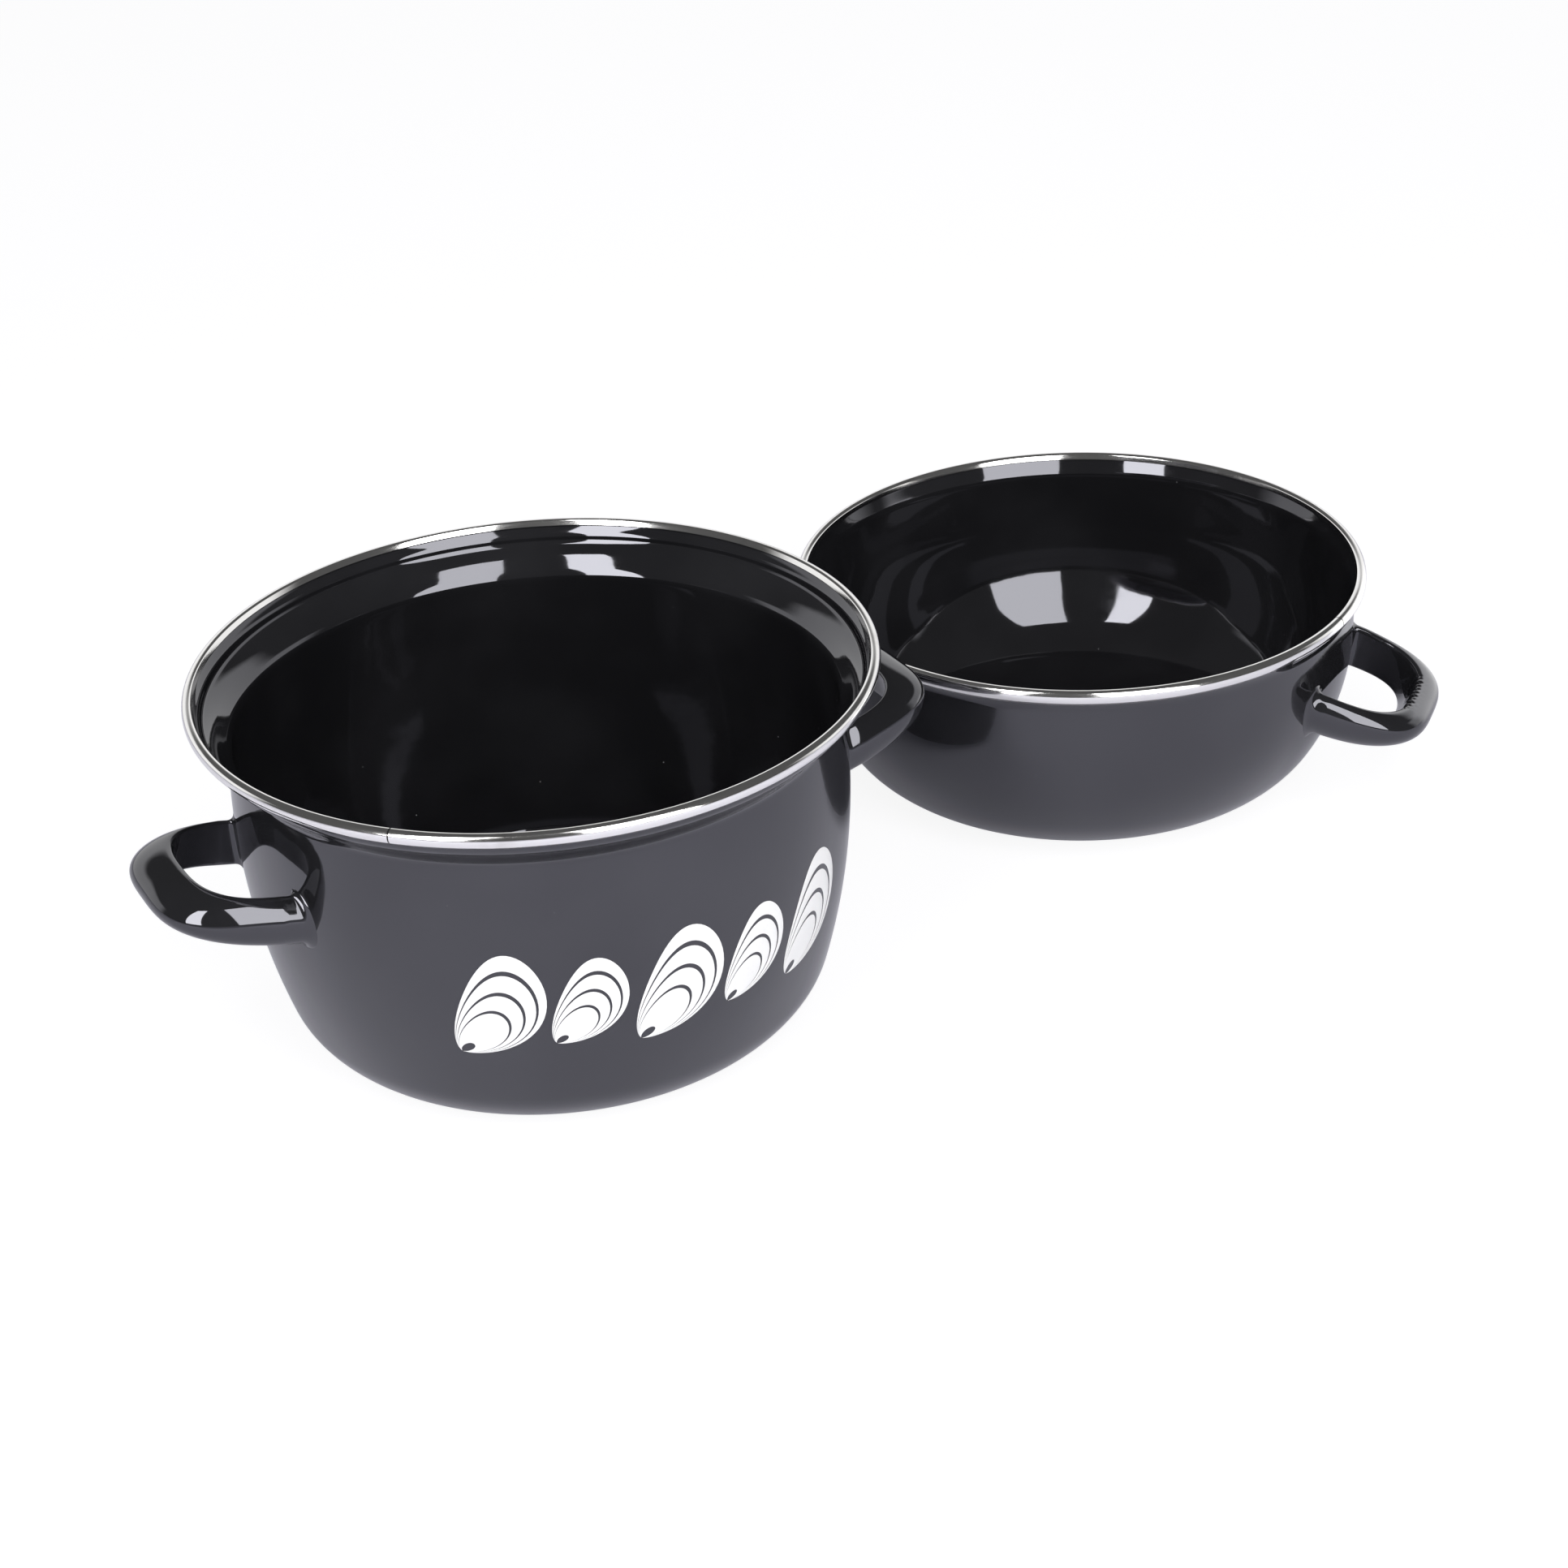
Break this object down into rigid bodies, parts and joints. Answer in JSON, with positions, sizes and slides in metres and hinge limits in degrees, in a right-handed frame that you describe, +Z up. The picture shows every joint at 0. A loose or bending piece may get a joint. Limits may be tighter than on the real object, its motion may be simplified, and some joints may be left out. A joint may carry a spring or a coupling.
{
  "type": "mussel pot",
  "caption": "Black enamelled mussel pot with steel-banded rim and loop handles, its deep lid standing beside it as a bowl for empty shells.",
  "frame": {"origin": "centre of the underside of the pot's base, on the table", "axes": "+Z up along the pot's axis, +X out through the middle of the pot's right-hand handle, towards the lid's side"},
  "size_m": [0.4285, 0.2372, 0.1096],
  "materials": {
    "enamel": "glossy black vitreous enamel on drawn sheet steel",
    "rim_steel": "bright rolled stainless steel"
  },
  "bodies": {
    "pot": {"pot_body": "enamel", "pot_rim_band": "rim_steel", "pot_handle_right": "enamel", "pot_handle_left": "enamel"},
    "lid": {"lid_bowl": "enamel", "lid_rim_band": "rim_steel", "lid_handle_right": "enamel", "lid_handle_left": "enamel"}
  },
  "joints": [
    {"name": "lid_lift", "type": "slide", "parent": "pot", "child": "lid", "axis": [0, 0, 1], "range_m": [0, 0.15]}
  ]
}
